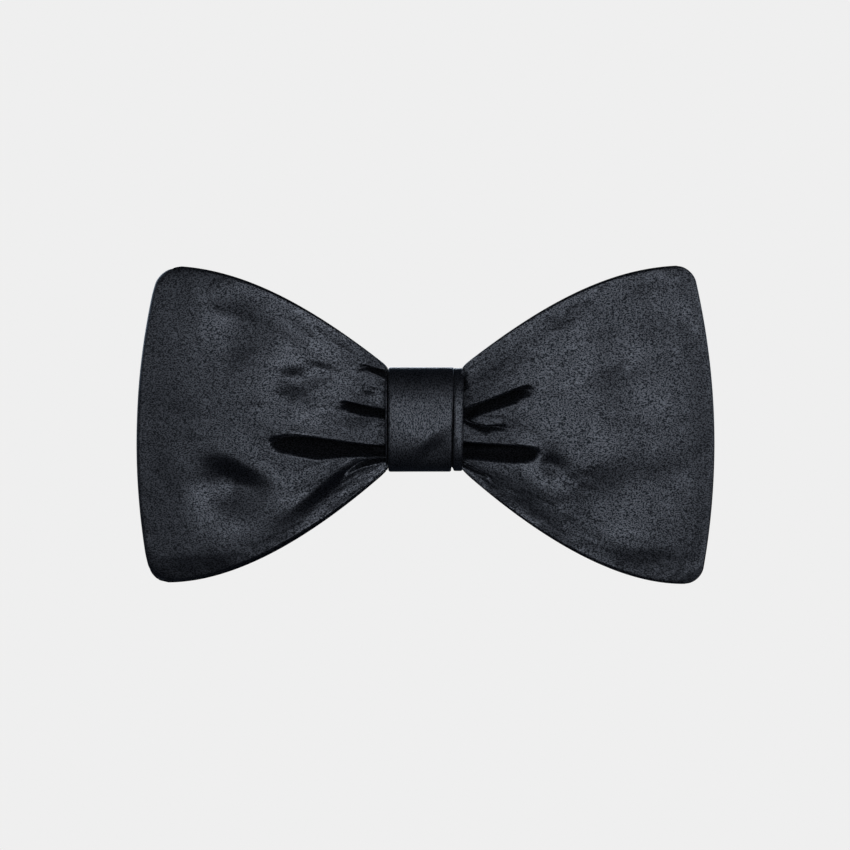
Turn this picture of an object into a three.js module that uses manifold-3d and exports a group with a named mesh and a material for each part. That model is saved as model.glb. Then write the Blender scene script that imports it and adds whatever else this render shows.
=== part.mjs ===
// A pre-tied black satin bow tie on an adjustable neck band.
//
// Millimetres. +X is to the viewer's right, +Z is up, the bow faces -Y, and the wearer's neck is on
// the +Y side. The origin is the centre of the knot's back face, which rests on the collar.
//
// Two blades, each a folded strip of face cloth, interlining and lining, cross behind a wrapped knot.
// The neck band leaves the knot on both sides and closes at the nape with a hook and an eye; on the
// left it runs through a three-bar slider, round the hook, and back to the slider.
import * as THREE from "three";
import { mergeVertices } from "three/addons/utils/BufferGeometryUtils.js";
import Module from "manifold-3d";

const wasm = await Module();
wasm.setup();

// ---------------------------------------------------------------- driving dimensions

const bow = {
  halfWidth: 60, // knot centre to the wing's outer edge
  cornerTop: new THREE.Vector2(53, 31.8), // where the top edge meets the rounded corner
  cornerBottom: new THREE.Vector2(54, -34),
  cornerRadius: 3.4,
  edgeCrown: 0.0034, // how much the outer edge bows outwards, per mm
  edgeTilt: 0.02, // how much it leans, so that the bottom is wider than the top
  waistX: 9, // the wings start to spread here, just outside the knot
  waistHalfHeight: 7.4, // the gathered waist inside the knot
  spreadLength: 1.2, // how soon the cloth springs out of the knot
  layerStep: 0.8, // the rear blade hangs this much lower than the front blade
  tipX: 60, // the flat end of each blade
  tuckX: 6.5, // the folded end of each blade stops here inside the knot
  swellX: 44, // where each leaf starts to curve, out towards the wing's outer edge
  gatherX: 24, // where each leaf turns in to its gathered waist
};

// One blade is three plies: face cloth, interlining and lining, spaced centre to centre.
const cloth = { face: 0.3, interlining: 0.3, spacing: 0.6, rows: 8 };

const knot = {
  height: 21.7,
  depth: 13.6,
  cornerRadius: 4.2,
  clothThickness: 0.5,
  gap: 0.3,
  overTurn: { from: -7.7, to: 5.8 }, // the outer turn of the wrap, set off to the left
  underTurn: { from: -8.5, to: 7.9 },
  interlining: { from: -7.4, to: 6.8 },
};

// Depths of the four passes of cloth through the knot, front to back.
const pass = { frontBlade: -10.35, frontReturn: -8.45, rearReturn: -6.55, rearBlade: -4.65 };
const fold = { radius: 1.6, frontY: -8.9, rearY: -6 };

// How each blade's leaves swell between the waist and the outer edge: the flat end, the loop's
// outer leaf and the loop's return, as depths that the leaf is drawn towards.
const frontSwell = { tip: -9.9, flat: -12, loop: -12.6, back: -6.9 };
const rearSwell = { tip: -4.6, flat: -4.4, loop: -3.6, back: -8 };

const band = { height: 15, thickness: 1.2, wall: 0.3, y: -2.9, knotGap: 0.3, step: 6 };

// Half of the neck loop, from the knot round to the nape: straight, throat, side, nape corner.
const loop = {
  straight: 11,
  arcs: [
    { radius: 42, turn: 63 },
    { radius: 88, turn: 54 },
    { radius: 31, turn: 63 },
  ],
};

// Lengths of strap: the ease from the band's line to a bar, and what is turned back round the bar.
const hookStrap = { ease: 12, turnedBack: 6, interliningShort: 16 };
const returnStrap = { gap: 0.4, ease: 18, pastBar: 14.3 };
const sliderStrap = { pastBar: 14, turnedBack: 11, inset: 1.4 };
const eyeStrap = { ease: 9, turnedBack: 12, out: 0.15, gap: 0.2 };

const metal = {
  thickness: 0.9,
  barWidth: 1.2,
  halfHeight: 9.6,
  slotHalfHeight: 8,
  slotRadius: 0.5,
  foldRadius: 1.4, // of the cloth round a bar
};
const hook = {
  barX: -18.5,
  out: -1.15,
  slotEnd: -15.2,
  frameEnd: -13.4,
  cornerRadius: 1,
  tongueHalfHeight: 3.6,
  lipX: -7.3,
  lipTop: 1.7,
};
const eye = {
  barX: 2.8,
  out: 0.05,
  endX: -9.2,
  windowFrom: -7.7,
  windowTo: -3,
  windowHalfHeight: 6,
  slotFrom: -1.4,
  cornerRadius: 2,
};
const slider = { heading: 80, halfLength: 6, barOut: 1.4, centreOut: -3.1, armWidth: 3.2 };
const clasp = { pivotX: 20.5, clearance: 0.75 };
const label = { from: 30, to: 56, height: 10, thickness: 0.3, out: -1.05 };

// ---------------------------------------------------------------- materials

function finish(color, roughness, metalness = 0) {
  return new THREE.MeshStandardMaterial({ color, roughness, metalness });
}

const satin = finish(0x16181d, 0.45);
const canvas = finish(0xb9b4a6, 0.95);
const nickel = finish(0xb8bac0, 0.3, 1);
const labelCloth = finish(0x2a2c31, 0.8);

// ---------------------------------------------------------------- solids and placing

const X = new THREE.Vector3(1, 0, 0);
const Y = new THREE.Vector3(0, 1, 0);
const Z = new THREE.Vector3(0, 0, 1);

const tie = new THREE.Group();

function add(name, geometry, material, parent = tie) {
  const mesh = new THREE.Mesh(geometry, material);
  mesh.name = name;
  parent.add(mesh);
  return mesh;
}

function toSolid(geometry) {
  const bare = geometry.clone();
  bare.deleteAttribute("normal");
  bare.deleteAttribute("uv");
  const merged = mergeVertices(bare, 1e-4);
  return new wasm.Manifold(
    new wasm.Mesh({
      numProp: 3,
      vertProperties: merged.attributes.position.array,
      triVerts: new Uint32Array(merged.index.array),
    }),
  );
}

function toGeometry(solid) {
  const mesh = solid.getMesh();
  const geometry = new THREE.BufferGeometry();
  geometry.setAttribute("position", new THREE.BufferAttribute(mesh.vertProperties, 3));
  geometry.setIndex(new THREE.BufferAttribute(mesh.triVerts, 1));
  geometry.computeVertexNormals();
  return geometry;
}

function extrude(shape, depth) {
  return new THREE.ExtrudeGeometry(shape, { depth, bevelEnabled: false, curveSegments: 4 });
}

function roundedRectangle(left, right, low, high, radius) {
  const shape = new THREE.Shape();
  shape.moveTo(left + radius, low);
  shape.lineTo(right - radius, low);
  shape.absarc(right - radius, low + radius, radius, -Math.PI / 2, 0);
  shape.lineTo(right, high - radius);
  shape.absarc(right - radius, high - radius, radius, 0, Math.PI / 2);
  shape.lineTo(left + radius, high);
  shape.absarc(left + radius, high - radius, radius, Math.PI / 2, Math.PI);
  shape.lineTo(left, low + radius);
  shape.absarc(left + radius, low + radius, radius, Math.PI, 1.5 * Math.PI);
  return shape;
}

// ---------------------------------------------------------------- the blades

// The wing's top and bottom edges, from the waist out to the rounded corners.
const topEdge = new THREE.CubicBezierCurve(
  new THREE.Vector2(8, 11.2),
  new THREE.Vector2(24, 23.4),
  new THREE.Vector2(38, 31),
  bow.cornerTop,
);
const bottomEdge = new THREE.CubicBezierCurve(
  new THREE.Vector2(8, -10.8),
  new THREE.Vector2(24, -24.8),
  new THREE.Vector2(40, -34),
  bow.cornerBottom,
);

// The height of an edge curve above x, by halving the interval that holds it.
function heightAt(edge, x) {
  let low = 0;
  let high = 1;
  for (let i = 0; i < 24; i++) {
    const middle = (low + high) / 2;
    if (edge.getPoint(middle).x < x) low = middle;
    else high = middle;
  }
  return edge.getPoint(low).y;
}

// How far out the wing's outer edge lies at height z, with its corners rounded.
function outerEdge(z) {
  const lean = z + 2;
  const edge = bow.halfWidth - bow.edgeCrown * lean * lean - bow.edgeTilt * lean;
  const toCorner = Math.min(bow.cornerTop.y - z, z - bow.cornerBottom.y);
  const inside = Math.max(0, bow.cornerRadius - toCorner);
  return edge - bow.cornerRadius + Math.sqrt(bow.cornerRadius ** 2 - inside ** 2);
}

// The cloth's lowest and highest points where the wing has spread by share (0 waist, 1 outer edge).
function wingSpan(share, lift, drop) {
  const spring = Math.exp((-share * (bow.halfWidth - bow.waistX)) / bow.spreadLength);
  const ends = [
    [bottomEdge, bow.cornerBottom.x, -bow.waistHalfHeight, drop],
    [topEdge, bow.cornerTop.x, bow.waistHalfHeight, -lift],
  ];
  return ends.map(([edge, cornerX, waist, shift]) => {
    const height = heightAt(edge, bow.waistX + share * (cornerX - bow.waistX));
    const waistEdge = heightAt(edge, bow.waistX);
    return height + (waist - waistEdge) * spring + shift * (1 - spring);
  });
}

// A blade's centre line in plan, front blade: flat end on the right, loop on the left.
// Stations hold a point and the direction to the blade's face side.
function bladeStations(swell, passY, foldY, returnY) {
  const { waistX, gatherX, swellX } = bow;
  const foldX = -(bow.halfWidth - fold.radius - cloth.spacing - cloth.face / 2);
  const side = Math.sign(foldY - passY); // +1 where the loop returns towards the neck
  const v = (x, y) => new THREE.Vector2(x, y);
  const leaf = (from, y, gatherY, to) => {
    const way = Math.sign(from.x);
    return new THREE.CubicBezierCurve(from, v(way * swellX, y), v(way * gatherX, gatherY), to);
  };
  const parts = [
    [leaf(v(bow.tipX, swell.tip), swell.flat, swell.flat, v(waistX, passY)), 6],
    [new THREE.LineCurve(v(waistX, passY), v(-waistX, passY)), 1],
    [reverse(leaf(v(foldX, foldY - side * fold.radius), swell.loop, swell.loop, v(-waistX, passY))), 7],
    [arcCurve(foldX, foldY, fold.radius, side), 5],
    [leaf(v(foldX, foldY + side * fold.radius), swell.back, returnY, v(-waistX, returnY)), 6],
    [new THREE.LineCurve(v(-waistX, returnY), v(bow.tuckX, returnY)), 1],
  ];
  const stations = [];
  for (const [curve, steps] of parts) {
    for (let i = stations.length ? 1 : 0; i <= steps; i++) {
      const point = curve.getPoint(i / steps);
      const tangent = curve.getTangent(i / steps);
      stations.push({ point, face: v(-tangent.y, tangent.x).multiplyScalar(side) });
    }
  }
  return stations;
}

function reverse(curve) {
  return new THREE.CubicBezierCurve(curve.v3, curve.v2, curve.v1, curve.v0);
}

// The loop's turn at the wing's outer edge, a half circle on the far side of x.
function arcCurve(x, y, radius, side) {
  const from = -side * (Math.PI / 2);
  return new THREE.EllipseCurve(x, y, radius, radius, from, -from, side > 0);
}

// One ply of a blade: a box whose length follows the stations and whose height follows the wing.
// Rows run from the bottom edge to the top one; the interlining leaves out the outermost rows.
function bladePly(stations, offset, thickness, firstRow, lift, drop, mirror) {
  const steps = stations.length - 1;
  const rows = cloth.rows - 2 * firstRow;
  const geometry = new THREE.BoxGeometry(1, 1, 1, steps, 1, rows);
  const position = geometry.attributes.position;
  for (let i = 0; i < position.count; i++) {
    const { point, face } = stations[Math.round((position.getX(i) + 0.5) * steps)];
    const out = offset + position.getY(i) * thickness;
    const x = point.x + face.x * out;
    const y = point.y + face.y * out;
    const row = firstRow + (position.getZ(i) + 0.5) * rows;
    const across = (1 - Math.cos((Math.PI * row) / cloth.rows)) / 2;
    const share = Math.max(0, (Math.abs(x) - bow.waistX) / (bow.halfWidth - bow.waistX));
    const [low, high] = wingSpan(share, lift, drop);
    const edgeZ = THREE.MathUtils.lerp(bow.cornerBottom.y, bow.cornerTop.y, across);
    const reach = bow.waistX + share * (outerEdge(edgeZ) - bow.waistX);
    const spreadX = share > 0 ? Math.sign(x) * reach : x;
    position.setXYZ(i, mirror ? -spreadX : spreadX, y, THREE.MathUtils.lerp(low, high, across));
  }
  return toGeometry(outward(geometry));
}

function addBlade(name, stations, lift, drop, mirror) {
  const { face, interlining, spacing } = cloth;
  const ply = (offset, thickness, firstRow) =>
    bladePly(stations, offset, thickness, firstRow, lift, drop, mirror);
  add(`${name}_face`, ply(spacing, face, 0), satin);
  add(`${name}_interlining`, ply(0, interlining, 1), canvas);
  add(`${name}_lining`, ply(-spacing, face, 0), satin);
}

// A solid from a closed mesh, turned the right way round if its faces point inwards.
function outward(geometry) {
  const made = toSolid(geometry);
  if (made.volume() > 0) return made;
  const flipped = geometry.clone();
  flipped.index.array.reverse();
  return toSolid(flipped);
}

const frontStations = bladeStations(frontSwell, pass.frontBlade, fold.frontY, pass.frontReturn);
const rearStations = bladeStations(rearSwell, pass.rearBlade, fold.rearY, pass.rearReturn);
addBlade("front_blade", frontStations, 0, bow.layerStep, false);
addBlade("rear_blade", rearStations, bow.layerStep, 0, true);

// ---------------------------------------------------------------- the knot

// A ring of cloth round the waist, inset from the knot's outside by depth.
function knotTurn(depth, { from, to }) {
  const half = knot.height / 2;
  const ring = (by) =>
    roundedRectangle(-knot.depth + by, -by, -half + by, half - by, knot.cornerRadius - by);
  const shape = ring(depth);
  shape.holes.push(ring(depth + knot.clothThickness));
  const geometry = extrude(shape, to - from);
  geometry.applyMatrix4(new THREE.Matrix4().makeBasis(Y, Z, X));
  geometry.translate(from, 0, 0);
  return geometry;
}

const turnStep = knot.clothThickness + knot.gap;
add("knot_wrap_over", knotTurn(0, knot.overTurn), satin);
add("knot_wrap_under", knotTurn(turnStep, knot.underTurn), satin);
add("knot_interlining", knotTurn(2 * turnStep, knot.interlining), canvas);

// ---------------------------------------------------------------- the neck loop

// The loop's runs with the place and heading that each starts from.
function loopRuns() {
  const runs = [{ x: 0, y: band.y, heading: 0, length: loop.straight }];
  let { straight: x } = loop;
  let y = band.y;
  let heading = 0;
  for (const { radius, turn } of loop.arcs) {
    const angle = THREE.MathUtils.degToRad(turn);
    runs.push({ x, y, heading, radius, length: radius * angle });
    x += radius * (Math.sin(heading + angle) - Math.sin(heading));
    y += radius * (Math.cos(heading) - Math.cos(heading + angle));
    heading += angle;
  }
  runs.push({ x, y, heading, length: x });
  return runs;
}

const runs = loopRuns();
const halfLoop = runs.reduce((sum, run) => sum + run.length, 0);
const napeY = runs.at(-1).y;
const side = runs[2]; // the arc that the slider travels on
const sideCentre = {
  x: side.x - side.radius * Math.sin(side.heading),
  y: side.y + side.radius * Math.cos(side.heading),
};

// The point along the half loop, and out from its centre line. sign is 1 right and -1 left.
function place(sign, along, out) {
  let left = along;
  let run = runs[0];
  for (const next of runs) {
    run = next;
    if (left <= next.length) break;
    if (next !== runs.at(-1)) left -= next.length;
  }
  const { x, y, heading, radius } = run;
  const now = heading + (radius ? left / radius : 0);
  const centred = radius
    ? [x + radius * (Math.sin(now) - Math.sin(heading)), y + radius * (Math.cos(heading) - Math.cos(now))]
    : [x + left * Math.cos(heading), y + left * Math.sin(heading)];
  return new THREE.Vector2(sign * (centred[0] + out * Math.sin(now)), centred[1] - out * Math.cos(now));
}

// Points [along, out] of a stretch of strap, easing from one distance out to another.
function stretch(from, to, outFrom, outTo) {
  const steps = Math.max(2, Math.ceil(Math.abs(to - from) / band.step));
  return Array.from({ length: steps + 1 }, (_, i) => {
    const share = i / steps;
    const ease = THREE.MathUtils.smoothstep(share, 0, 1);
    return [from + (to - from) * share, outFrom + (outTo - outFrom) * ease];
  });
}

// A half turn round a bar, from its outer side to its inner side. ahead is 1 past the bar, -1 before.
function turnRound(along, out, ahead) {
  const steps = 8;
  return Array.from({ length: steps - 1 }, (_, i) => {
    const angle = Math.PI / 2 - ((i + 1) * Math.PI) / steps;
    return [along + ahead * metal.foldRadius * Math.cos(angle), out + metal.foldRadius * Math.sin(angle)];
  });
}

// A strap of the given thickness and height whose centre line follows the points [along, out].
function strap(sign, points, thickness = band.thickness, height = band.height) {
  const line = points.map(([along, out]) => place(sign, along, out));
  const sides = [[], []];
  line.forEach((point, i) => {
    const before = line[Math.max(0, i - 1)];
    const after = line[Math.min(line.length - 1, i + 1)];
    const normal = after.clone().sub(before).normalize();
    normal.set(-normal.y, normal.x).multiplyScalar(thickness / 2);
    sides[0].push(point.clone().add(normal));
    sides[1].unshift(point.clone().sub(normal));
  });
  const geometry = extrude(new THREE.Shape([...sides[0], ...sides[1]]), height);
  geometry.translate(0, 0, -height / 2);
  return geometry;
}

// A sewn tube of satin, open at the knot end, with its interlining inside.
function addLinedBand(name, sign, points, liningTo) {
  const hollow = band.thickness - 2 * band.wall;
  const inside = stretch(band.knotGap - 1, liningTo + 0.4, 0, 0);
  const tube = toSolid(strap(sign, points)).subtract(
    toSolid(strap(sign, inside, hollow, band.height - 2 * band.wall)),
  );
  add(`${name}_cover`, toGeometry(tube), satin);
  const core = stretch(band.knotGap + 0.3, liningTo, 0, 0);
  add(`${name}_interlining`, strap(sign, core, hollow / 3, band.height - 4 * band.wall), canvas);
}

const LEFT = -1;
const RIGHT = 1;
const hookAlong = halfLoop + hook.barX;
const eyeAlong = halfLoop - eye.barX;
const pivotAlong = halfLoop - clasp.pivotX;
const hookOuter = hook.out + metal.foldRadius;
const hookInner = hook.out - metal.foldRadius;
const eyeOuter = eye.out + metal.foldRadius;
const eyeInner = eye.out - metal.foldRadius;
const sliderAlong =
  runs[0].length + runs[1].length +
  side.radius * (THREE.MathUtils.degToRad(slider.heading) - side.heading);
const sliderOuter = slider.centreOut + metal.foldRadius;
const sliderInner = slider.centreOut - metal.foldRadius;
const sliderEnd = sliderAlong + sliderStrap.turnedBack;
const hookReturn = hookAlong - hookStrap.turnedBack;
const returnFlat = hookAlong - returnStrap.ease;

addLinedBand(
  "left_band",
  LEFT,
  [
    ...stretch(band.knotGap, hookAlong - hookStrap.ease, 0, 0),
    ...stretch(hookAlong - hookStrap.ease, hookAlong, 0, hookOuter).slice(1),
    ...turnRound(hookAlong, hook.out, 1),
    ...stretch(hookAlong, hookReturn, hookInner, hookInner),
  ],
  hookAlong - hookStrap.interliningShort,
);
add(
  "left_band_return",
  strap(LEFT, [
    ...stretch(hookReturn - returnStrap.gap, returnFlat, hookInner, sliderOuter),
    ...stretch(returnFlat, sliderAlong + returnStrap.pastBar, sliderOuter, sliderOuter).slice(1),
  ]),
  satin,
);
add(
  "left_band_slider_loop",
  strap(LEFT, [
    ...stretch(sliderAlong + sliderStrap.pastBar, sliderAlong, sliderOuter, sliderOuter),
    ...turnRound(sliderAlong, slider.centreOut, -1),
    ...stretch(sliderAlong, sliderEnd, sliderInner, sliderOuter - sliderStrap.inset),
  ]),
  satin,
);
addLinedBand(
  "right_band",
  RIGHT,
  stretch(band.knotGap, pivotAlong - clasp.clearance, 0, 0),
  pivotAlong - clasp.clearance - 1,
);
add(
  "right_band_end",
  strap(RIGHT, [
    ...stretch(pivotAlong + eyeStrap.gap, eyeAlong - eyeStrap.ease, 0, eyeStrap.out),
    ...stretch(eyeAlong - eyeStrap.ease, eyeAlong, eyeStrap.out, eyeOuter).slice(1),
    ...turnRound(eyeAlong, eye.out, 1),
    ...stretch(eyeAlong, eyeAlong - eyeStrap.turnedBack, eyeInner, eyeInner),
  ]),
  satin,
);
add(
  "inside_label",
  strap(RIGHT, stretch(label.from, label.to, label.out, label.out), label.thickness, label.height),
  labelCloth,
);

// ---------------------------------------------------------------- the metal fittings

// A flat stamping that faces the nape: its shape in X and Z, centred out from the band's line.
function stamping(shape, out) {
  const geometry = extrude(shape, metal.thickness);
  geometry.applyMatrix4(new THREE.Matrix4().makeBasis(X, Z, Y.clone().negate()));
  geometry.translate(0, napeY + out + metal.thickness / 2, 0);
  return geometry;
}

// The slot in a fitting that its strap passes through.
function slot(left, right) {
  return roundedRectangle(left, right, -metal.slotHalfHeight, metal.slotHalfHeight, metal.slotRadius);
}

function box(width, depth, height, x, y, z) {
  return toSolid(new THREE.BoxGeometry(width, depth, height).translate(x, y, z));
}

function addHook() {
  const back = hook.barX - metal.barWidth / 2;
  const frame = roundedRectangle(
    back, hook.frameEnd, -metal.halfHeight, metal.halfHeight, hook.cornerRadius,
  );
  frame.holes.push(slot(hook.barX + metal.barWidth / 2, hook.slotEnd));
  const tongueHalf = hook.tongueHalfHeight;
  const tongueEnd = hook.lipX + metal.thickness;
  const tongueFrom = hook.frameEnd - hook.cornerRadius;
  const tongue = roundedRectangle(tongueFrom, tongueEnd, -tongueHalf, tongueHalf, metal.slotRadius);
  const lipLow = hook.out - metal.thickness / 2;
  const lip = box(
    metal.thickness,
    hook.lipTop - lipLow,
    2 * tongueHalf,
    hook.lipX + metal.thickness / 2,
    napeY + (hook.lipTop + lipLow) / 2,
    0,
  );
  const solid = toSolid(stamping(frame, hook.out)).add(toSolid(stamping(tongue, hook.out))).add(lip);
  add("hook", toGeometry(solid), nickel);
}

function addEye() {
  const far = eye.barX + metal.barWidth / 2;
  const frame = roundedRectangle(eye.endX, far, -metal.halfHeight, metal.halfHeight, eye.cornerRadius);
  frame.holes.push(
    roundedRectangle(
      eye.windowFrom, eye.windowTo, -eye.windowHalfHeight, eye.windowHalfHeight, eye.cornerRadius / 2,
    ),
    slot(eye.slotFrom, eye.barX - metal.barWidth / 2),
  );
  add("eye", toGeometry(toSolid(stamping(frame, eye.out))), nickel);
}

// The slider, built flat along its own X and carried out to its place on the side arc.
function addSlider() {
  const { halfLength, barOut, centreOut, armWidth } = slider;
  const railHeight = metal.halfHeight - metal.slotHalfHeight;
  const railZ = metal.slotHalfHeight + railHeight / 2;
  const armLow = centreOut - metal.thickness / 2;
  const barTop = barOut + metal.thickness / 2;
  const pieces = [];
  for (const end of [-1, 1]) {
    const rail = box(2 * halfLength, metal.thickness, railHeight, 0, barOut, end * railZ);
    const arm = box(armWidth, barTop - armLow, railHeight, 0, (barTop + armLow) / 2, end * railZ);
    const barX = end * (halfLength - metal.barWidth / 2);
    pieces.push(rail, arm, box(metal.barWidth, metal.thickness, 2 * railZ, barX, barOut, 0));
  }
  pieces.push(box(metal.barWidth, metal.thickness, 2 * railZ, 0, centreOut, 0));
  const mount = new THREE.Group();
  const heading = THREE.MathUtils.degToRad(slider.heading);
  const along = new THREE.Vector3(-Math.cos(heading), Math.sin(heading), 0);
  const out = new THREE.Vector3(-Math.sin(heading), -Math.cos(heading), 0);
  const at = place(LEFT, sliderAlong, 0);
  mount.applyMatrix4(new THREE.Matrix4().makeBasis(along, out, Z).setPosition(at.x, at.y, 0));
  tie.add(mount);
  add("slider", toGeometry(pieces.reduce((sum, piece) => sum.add(piece))), nickel, mount);
}

addHook();
addEye();
addSlider();

export default tie;
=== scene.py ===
"""A black satin bow tie: the looks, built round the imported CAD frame.

Lengths are in millimetres, as in the CAD, unless a comment says metres. Meshes are made in metres.
"""

import math

import bpy
import numpy as np
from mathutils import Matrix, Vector


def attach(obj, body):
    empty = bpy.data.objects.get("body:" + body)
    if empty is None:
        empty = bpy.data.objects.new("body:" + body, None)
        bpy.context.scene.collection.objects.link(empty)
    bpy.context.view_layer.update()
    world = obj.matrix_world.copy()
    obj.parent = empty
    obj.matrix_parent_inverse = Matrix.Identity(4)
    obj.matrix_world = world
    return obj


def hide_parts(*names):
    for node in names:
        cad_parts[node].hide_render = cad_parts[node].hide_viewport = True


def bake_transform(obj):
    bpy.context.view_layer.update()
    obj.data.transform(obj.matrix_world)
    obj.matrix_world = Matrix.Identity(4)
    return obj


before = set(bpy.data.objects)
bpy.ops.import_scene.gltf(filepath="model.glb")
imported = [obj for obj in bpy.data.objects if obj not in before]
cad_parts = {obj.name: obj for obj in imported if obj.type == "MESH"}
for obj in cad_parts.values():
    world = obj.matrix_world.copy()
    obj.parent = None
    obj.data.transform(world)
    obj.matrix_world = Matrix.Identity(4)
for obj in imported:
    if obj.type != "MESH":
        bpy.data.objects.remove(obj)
scene = bpy.context.scene
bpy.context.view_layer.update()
MM = 0.001

# -------------------------------------------------- sizes, in millimetres

# The wing's outline, for the right wing: x from the knot's middle, z from its centre.
HALF_WIDTH = 59.8
CORNER_TOP = (53.0, 31.8)
CORNER_BOTTOM = (54.0, -34.0)
CORNER_RADIUS = 3.4
EDGE_CROWN = 0.0034
EDGE_TILT = 0.02
WAIST_X = 7.2
WAIST_HALF_HEIGHT = 8.2
SPREAD_LENGTH = 0.35  # how soon the gathered cloth springs out to the outline beside the knot

# The blades are each a face cloth, an interlining and a lining.
PLY = 0.42
CORE_THICKNESS = 0.3
BLADE_THICKNESS = 1.5
EDGE_THICKNESS = 0.8
EDGE_TAPER = 6.0  # how far in from its edge a blade has its full thickness
EDGE_RADIUS = 0.18
THINNEST_HALF = 0.11
FOLD_RADIUS = 1.05
OUTER_CONTROL_X = 44.0  # where the plan curves of the wings have their control points
INNER_CONTROL_X = 22.0
TUCK_END_X = 6.5
CROWN = 0.9  # how far a wing bulges between its top and bottom edges
CROWN_BEHIND = 0.2  # the share of it that a returning leaf has

TOP_EDGE = np.array([(8, 11.2), (24, 23.4), (38, 31.0), CORNER_TOP])
BOTTOM_EDGE = np.array([(8, -10.8), (24, -24.8), (40, -34.0), CORNER_BOTTOM])

KNOT_HEIGHT = 21.7
KNOT_DEPTH = 13.6
UPPER_ROUNDNESS = 2.4  # superellipse powers of the knot's section: front top, front bottom, back
LOWER_ROUNDNESS = 3.3
BACK_ROUNDNESS = 5.0
KNOT_HEM = 0.03  # the share of a turn's width that its rolled edge takes

# Each layer of the knot: how deep it lies, and its left and right edges as (x, lean in x per z).
OVER_TURN = {"inset": 0, "left": (-7.6, 0), "right": (5.75, 0.03), "thickness": 0.85}
UNDER_TURN = {"inset": 0.95, "left": (-8.2, -0.012), "right": (7.9, 0.01), "thickness": 0.7}
KNOT_CORE = {"inset": 1.75, "left": (-7.2, 0), "right": (6.6, 0), "thickness": 0.35}

BAND_HEIGHT = 15.0
BAND_THICKNESS = 1.2
BAND_WALL = 0.35
CORE_HEIGHT = 13.4
LABEL_HEIGHT = 10.0
BAND_Y = -2.9
BAND_GAP = 0.04  # between the band and the wings it lies on
LOOP_STRAIGHT = 11.0
LOOP_ARCS = [(42, 63), (88, 54), (31, 63)]  # radius, turn in degrees
HOOK_ALONG_FROM_NAPE = 18.5
EYE_FROM_NAPE = -2.8
PIVOT_FROM_NAPE = -20.5
BAR_TURN = 1.4
SLIDER_HEADING = 80
HOOK_OUT = -1.15  # how far out from the band's line each fitting's bar lies
EYE_OUT = 0.05
SLIDER_OUT = -3.1

# Lengths along the straps.
BAND_START = 0.4  # from the knot's middle
HOOK_RISE = 12.0  # how long the strap takes to rise to the bar
EYE_RISE = 16.0
EYE_RISE_START_OUT = 0.1
RETURN_RISE = 18.0
HOOK_TURNED_BACK = 6.2
EYE_TURNED_BACK = 12.0
SLIDER_TURNED_BACK = 11.0
SLIDER_END_IN = 1.35  # how far inside the slider's outer run the turned-back end lies
CORE_START = 1.5
LEFT_CORE_SHORT = 16.0  # how far short of the hook's bar, and of the hinge, the interlining ends
RIGHT_CORE_SHORT = 6.0
RIGHT_CORE_OUT = 0.08
LABEL_START = 30.0
LABEL_END = 56.0
LABEL_OUT = -0.85

# Where the straps give way as the joints move.
RETURN_BEND_START = 4.0  # past the side arc's end
RETURN_BEND_END = 13.0  # past the slider's bar

THREAD_RADIUS = 0.14
TACK_HALF_HEIGHT = 5.6
TACK_PITCH = 0.8
TACK_STITCH = 1.5
TACK_FROM_HOOK = 5.0
TACK_FROM_EYE = 10.5
TACK_FROM_SLIDER = 9.5
HEM_PITCH = 1.6
HEM_INSET = 0.5
HEM_OUT = -1.02
HEM_STITCH = 0.9
SLIP_HALF_HEIGHT = 7.0
SLIP_PITCH = 1.4
SLIP_STITCH = 1.3

# The gathers beside the knot. A pleat's crest runs along its line of points (distance from the
# knot's centre, height, width) and overhangs a hollow of that width just below it.
LEFT_PLEATS = [
    [(6, 1.9, 1.6), (8.4, 2.1, 2.0), (12.7, 2.9, 2.3), (15.4, 3.5, 2.0), (16.8, 3.8, 1.1), (17.6, 4.0, 0)],
    [(6, -5.3, 2.4), (8.4, -5.4, 2.5), (13, -5.1, 2.5), (17, -4.6, 3.4), (21.5, -3.9, 4.6),
     (27, -3.3, 4.2), (30.4, -3.5, 3.2), (31.8, -4.0, 1.8), (32.6, -4.6, 0)],
    [(7, -7.6, 0.9), (11, -7.9, 1.4), (14, -8.9, 1.3), (17, -11.0, 0.7), (19, -12.6, 0)],
    [(7.6, 9.8, 1.6), (9.5, 10.4, 1.4), (12, 11.1, 0.8), (14.5, 11.5, 0)],
]
RIGHT_PLEATS = [
    [(6, 1.6, 2.0), (8, 2.1, 2.3), (13.6, 4.2, 2.5), (17.5, 5.7, 2.7), (20.4, 6.9, 1.8), (22.2, 7.6, 0)],
    [(8.2, 0.3, 0.9), (10, -0.6, 1.1), (12.6, -1.4, 1.3), (15, -1.1, 0.8), (17.6, -0.3, 0)],
    [(6, -4.6, 3.1), (8, -4.7, 3.4), (13.6, -5.1, 3.6), (19, -5.4, 3.7), (22.0, -5.8, 3.1),
     (23.3, -6.4, 1.8), (23.9, -7.0, 0)],
    [(8, -8.9, 0.7), (11.5, -10.6, 0.8), (15, -12.2, 0)],
]
PLEAT_DEPTH = 1.1  # a share of its width
PLEAT_WALL = 0.22
PLEAT_OVERHANG = 0.25
PLEAT_SOFT_FROM = 0.66  # the share of its length after which a pleat opens out
PLEAT_SOFT_WALL = 1.4
PLEAT_SHALLOWER = 0.8
CREST_REACH = 1.2

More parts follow.
